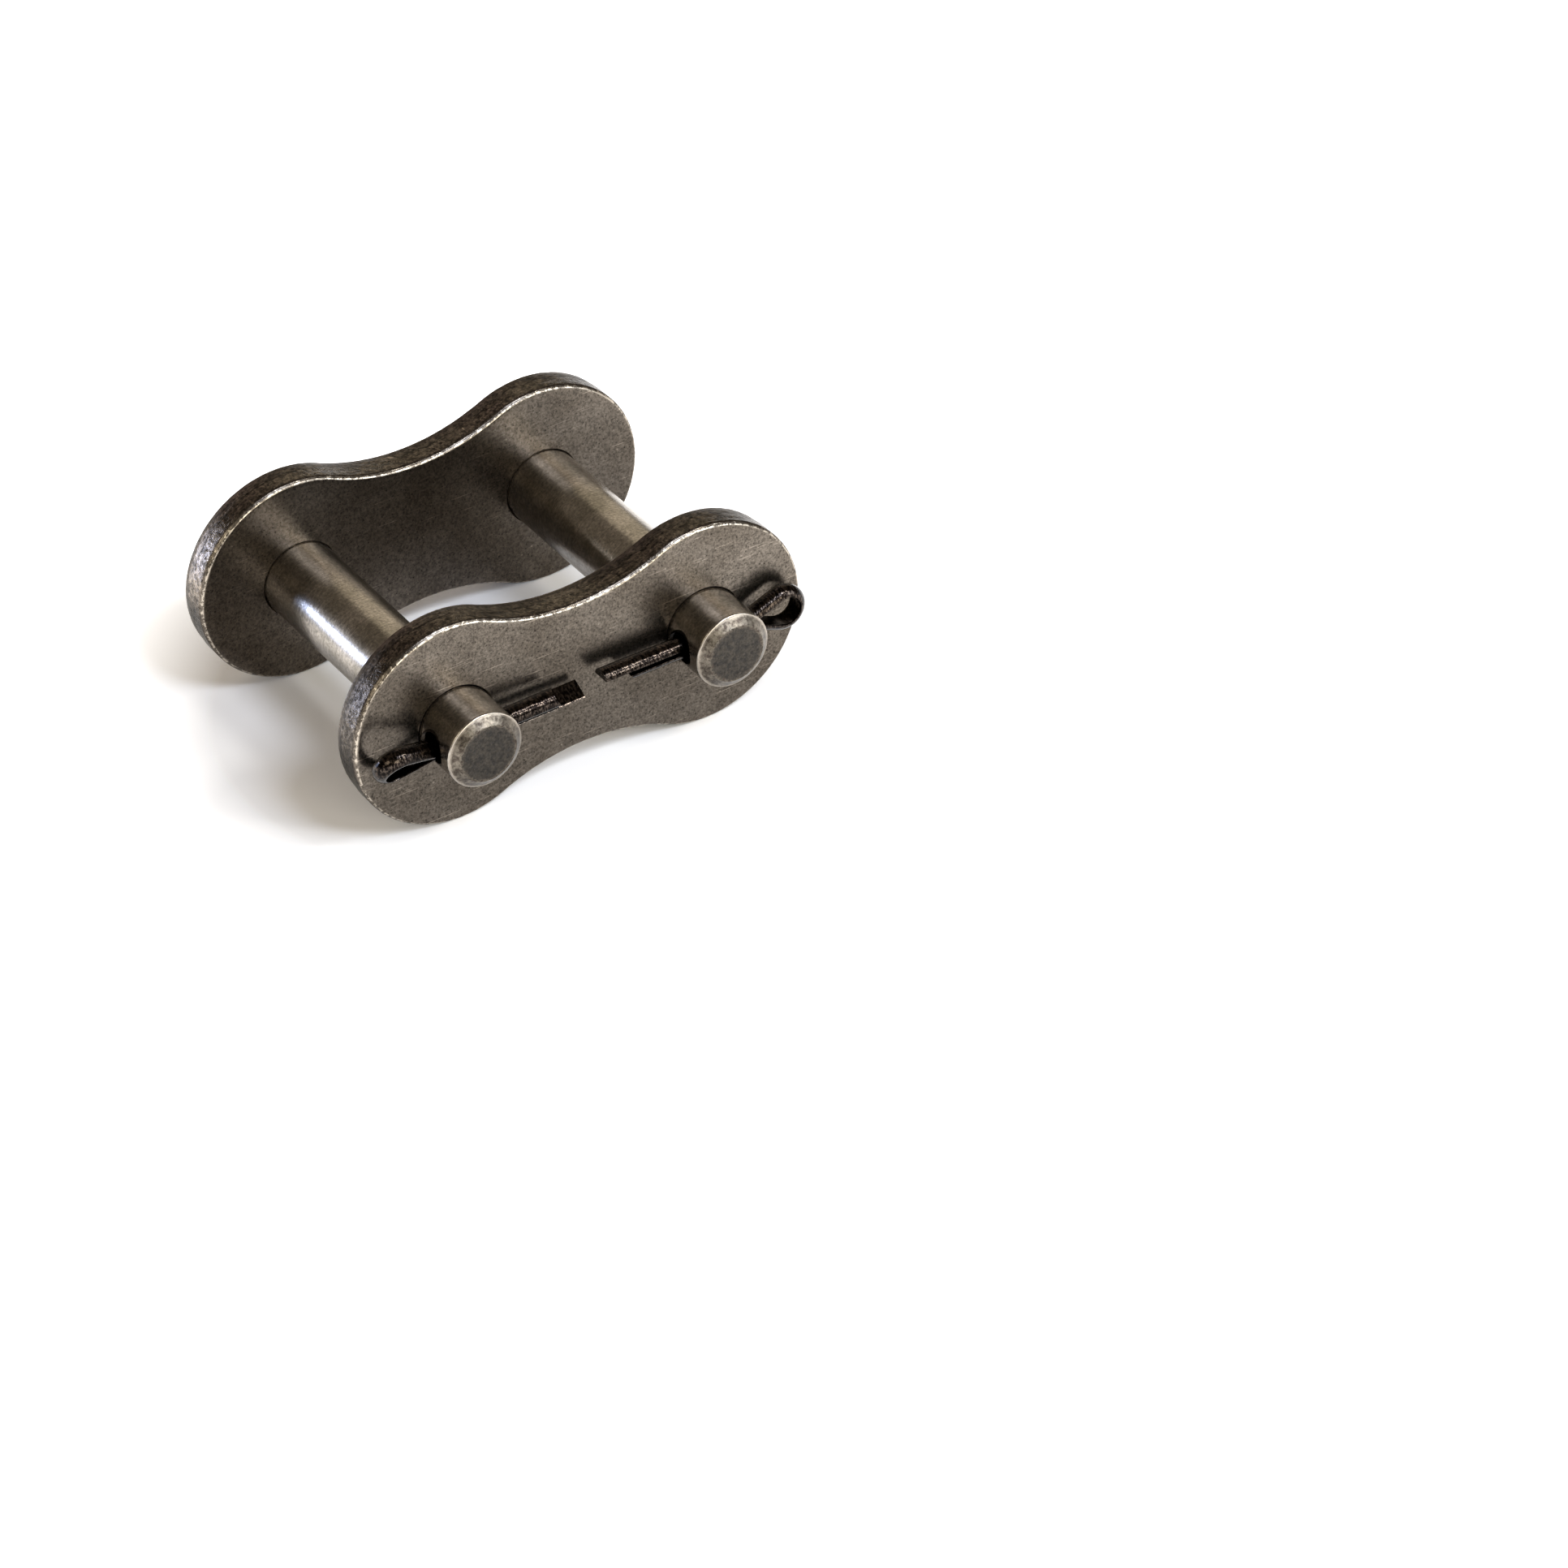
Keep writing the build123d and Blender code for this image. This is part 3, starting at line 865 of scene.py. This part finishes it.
world = bpy.data.worlds.new("dim_studio")
bpy.context.scene.world = world
world.use_nodes = True
sky = world.node_tree
background = sky.nodes["Background"]
# the room lights the link dimly, and shows as white behind the sheet
rays = node(sky, "ShaderNodeLightPath")
room = node(sky, "ShaderNodeMix", {
    "Factor": rays.outputs["Is Camera Ray"], "A": linear("#857B6E"), "B": linear("#FFFFFF")},
    data_type="RGBA")
sky.links.new(room.outputs["Result"], background.inputs["Color"])
background.inputs["Strength"].default_value = 1.0


def lamp(name, azimuth, elevation, size, power, colour):
    """A round area lamp aimed at the link. Azimuth 0 is in front, and 90 on the right."""
    data = bpy.data.lights.new(name, "AREA")
    data.shape = "DISK"
    data.size = size
    data.energy = power
    data.color = linear(colour)[:3]
    made = add_object(name, data)
    a = radians(azimuth)
    e = radians(elevation)
    away = Vector((sin(a) * cos(e), -cos(a) * cos(e), sin(e)))
    made.location = Vector((0.0, 0.0, axis_z)) + away * lamp_distance
    made.rotation_mode = "QUATERNION"
    made.rotation_quaternion = away.to_track_quat("Z", "Y")


lamp("soft_key", azimuth=12, elevation=51, size=0.28, power=4.4, colour="#E4EEFF")
lamp("side_key", azimuth=38, elevation=46, size=0.12, power=1.6, colour="#FFFFFC")
lamp("edge_key", azimuth=28, elevation=27, size=0.12, power=1.1, colour="#FFFFFC")
lamp("front_fill", azimuth=44, elevation=21, size=0.5, power=3.6, colour="#F1F8FF")
lamp("low_front", azimuth=0, elevation=15, size=0.5, power=3.6, colour="#FFFCEF")
lamp("left_fill", azimuth=-64, elevation=28, size=0.5, power=1.8, colour="#FFF8E4")
lamp("warm_back", azimuth=146, elevation=28, size=0.75, power=0.85, colour="#FFF3DA")
lamp("low_back", azimuth=180, elevation=15, size=0.5, power=0.3, colour="#FFDED6")
lamp("cool_window", azimuth=-133, elevation=4, size=0.25, power=3.0, colour="#BCD0FF")
lamp("left_back", azimuth=-145, elevation=9, size=0.3, power=0.4, colour="#FFFFFF")

# ---- Camera --------------------------------------------------------------------------------
# A long lens looks down on the link from the front left, with the link left of the middle
# of the frame and above it.

camera_azimuth = radians(-31.733)
camera_elevation = radians(36.462)
camera_roll = radians(-2.394)
camera_distance = 822.043 * mm
aim_right = 39.1605 * mm       # from the middle of the link to where the camera looks
aim_up = -25.5548 * mm
frame_width = 1932             # in pixels, as is the focal length
focal_length = 7559.62
sensor_width = 36.0

camera_data = bpy.data.cameras.new("camera")
camera_data.sensor_width = sensor_width
camera_data.lens = focal_length / frame_width * sensor_width
camera_data.clip_start = 0.05
camera_data.clip_end = 10.0
camera = add_object("camera", camera_data)
back = Vector((
    sin(camera_azimuth) * cos(camera_elevation),
    -cos(camera_azimuth) * cos(camera_elevation),
    sin(camera_elevation)))
level_right = Vector((0.0, 0.0, 1.0)).cross(back).normalized()
level_up = back.cross(level_right)
right = cos(camera_roll) * level_right + sin(camera_roll) * level_up
up = cos(camera_roll) * level_up - sin(camera_roll) * level_right
gap_middle = Vector((0.0, (back_low.y + cover_high.y) / 2, axis_z))
camera.location = gap_middle + aim_right * right + aim_up * up + camera_distance * back
camera.rotation_mode = "QUATERNION"
camera.rotation_quaternion = Matrix((right, up, back)).transposed().to_quaternion()
bpy.context.scene.camera = camera
bpy.context.scene.view_settings.view_transform = "Standard"
